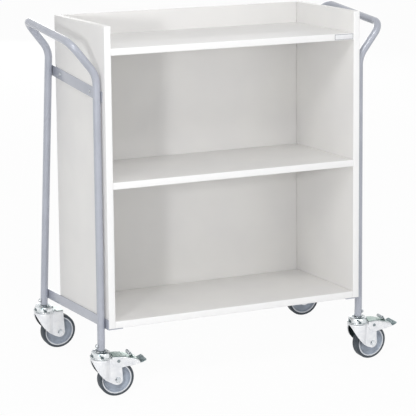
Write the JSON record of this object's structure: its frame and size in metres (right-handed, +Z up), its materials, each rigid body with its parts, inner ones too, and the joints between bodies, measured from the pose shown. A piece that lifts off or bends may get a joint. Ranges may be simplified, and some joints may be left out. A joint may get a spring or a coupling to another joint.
{
  "type": "office trolley",
  "caption": "Office trolley with a tray top and shelves in a leaning white board cabinet, carried by bent tube frames with push handles on braked swivel casters.",
  "frame": {"origin": "on the floor, under the middle of the whole trolley's box", "axes": "+X to the right seen from the open front, +Y towards the back panel, +Z up"},
  "size_m": [1.0176, 0.4666, 1.0135],
  "materials": {
    "board_white": "white melamine coated board, satin",
    "frame_grey": "grey powder coat, semi-gloss",
    "bright_zinc": "bright zinc plating",
    "fork_zinc": "pale zinc plating, satin",
    "tyre_rubber": "grey rubber, matte",
    "hub_plastic": "grey moulded plastic",
    "label_silver": "bare label, satin"
  },
  "bodies": {
    "frame": {"side_panel_left": "board_white", "side_panel_right": "board_white", "back_panel": "board_white", "top_shelf": "board_white", "middle_shelf": "board_white", "bottom_shelf": "board_white", "label_plate": "label_silver", "shelf_pin_front_left": "bright_zinc", "shelf_pin_rear_left": "bright_zinc", "shelf_pin_front_right": "bright_zinc", "shelf_pin_rear_right": "bright_zinc", "lower_crossbar_left": "frame_grey", "lower_screw_front_left": "bright_zinc", "lower_screw_rear_left": "bright_zinc", "lower_crossbar_right": "frame_grey", "lower_screw_front_right": "bright_zinc", "lower_screw_rear_right": "bright_zinc", "handle_tube_left": "frame_grey", "upper_crossbar_left": "frame_grey", "upper_screw_front_left": "bright_zinc", "upper_screw_rear_left": "bright_zinc", "handle_tube_right": "frame_grey", "upper_crossbar_right": "frame_grey", "upper_screw_front_right": "bright_zinc", "upper_screw_rear_right": "bright_zinc", "stem_front_left": "bright_zinc", "swivel_dome_front_left": "bright_zinc", "leg_bolt_front_left": "bright_zinc", "stem_rear_left": "bright_zinc", "swivel_dome_rear_left": "bright_zinc", "leg_bolt_rear_left": "bright_zinc", "stem_front_right": "bright_zinc", "swivel_dome_front_right": "bright_zinc", "leg_bolt_front_right": "bright_zinc", "stem_rear_right": "bright_zinc", "swivel_dome_rear_right": "bright_zinc", "leg_bolt_rear_right": "bright_zinc"},
    "caster_front_left": {"fork_front_left": "fork_zinc", "axle_bolt_front_left": "bright_zinc", "pedal_pin_front_left": "bright_zinc"},
    "wheel_front_left": {"wheel_hub_front_left": "hub_plastic", "tyre_front_left": "tyre_rubber"},
    "brake_front_left": {"brake_pedal_front_left": "bright_zinc", "brake_shoe_front_left": "fork_zinc"},
    "caster_rear_left": {"fork_rear_left": "fork_zinc", "axle_bolt_rear_left": "bright_zinc"},
    "wheel_rear_left": {"wheel_hub_rear_left": "hub_plastic", "tyre_rear_left": "tyre_rubber"},
    "caster_front_right": {"fork_front_right": "fork_zinc", "axle_bolt_front_right": "bright_zinc", "pedal_pin_front_right": "bright_zinc"},
    "wheel_front_right": {"wheel_hub_front_right": "hub_plastic", "tyre_front_right": "tyre_rubber"},
    "brake_front_right": {"brake_pedal_front_right": "bright_zinc", "brake_shoe_front_right": "fork_zinc"},
    "caster_rear_right": {"fork_rear_right": "fork_zinc", "axle_bolt_rear_right": "bright_zinc"},
    "wheel_rear_right": {"wheel_hub_rear_right": "hub_plastic", "tyre_rear_right": "tyre_rubber"}
  },
  "joints": [
    {"name": "swivel_front_left", "type": "hinge", "parent": "frame", "child": "caster_front_left", "pos_m": [-0.42612, -0.20217, 0.105], "axis": [0, 0, 1], "continuous": true},
    {"name": "roll_front_left", "type": "hinge", "parent": "caster_front_left", "child": "wheel_front_left", "pos_m": [-0.38223, -0.20524, 0.05], "axis": [0.0698, 0.9976, 0], "continuous": true},
    {"name": "brake_front_left", "type": "hinge", "parent": "caster_front_left", "child": "brake_front_left", "pos_m": [-0.38223, -0.20524, 0.105], "axis": [0.0698, 0.9976, 0], "range_deg": [0, 12]},
    {"name": "swivel_rear_left", "type": "hinge", "parent": "frame", "child": "caster_rear_left", "pos_m": [-0.42612, 0.20334, 0.105], "axis": [0, 0, 1], "continuous": true},
    {"name": "roll_rear_left", "type": "hinge", "parent": "caster_rear_left", "child": "wheel_rear_left", "pos_m": [-0.38213, 0.20257, 0.05], "axis": [0.0175, 0.9998, 0], "continuous": true},
    {"name": "swivel_front_right", "type": "hinge", "parent": "frame", "child": "caster_front_right", "pos_m": [0.38107, -0.20217, 0.105], "axis": [0, 0, 1], "continuous": true},
    {"name": "roll_front_right", "type": "hinge", "parent": "caster_front_right", "child": "wheel_front_right", "pos_m": [0.42497, -0.1991, 0.05], "axis": [-0.0698, 0.9976, 0], "continuous": true},
    {"name": "brake_front_right", "type": "hinge", "parent": "caster_front_right", "child": "brake_front_right", "pos_m": [0.42497, -0.1991, 0.105], "axis": [-0.0698, 0.9976, 0], "range_deg": [0, 12]},
    {"name": "swivel_rear_right", "type": "hinge", "parent": "frame", "child": "caster_rear_right", "pos_m": [0.38107, 0.20334, 0.105], "axis": [0, 0, 1], "continuous": true},
    {"name": "roll_rear_right", "type": "hinge", "parent": "caster_rear_right", "child": "wheel_rear_right", "pos_m": [0.42501, 0.20103, 0.05], "axis": [0.0523, 0.9986, 0], "continuous": true}
  ]
}
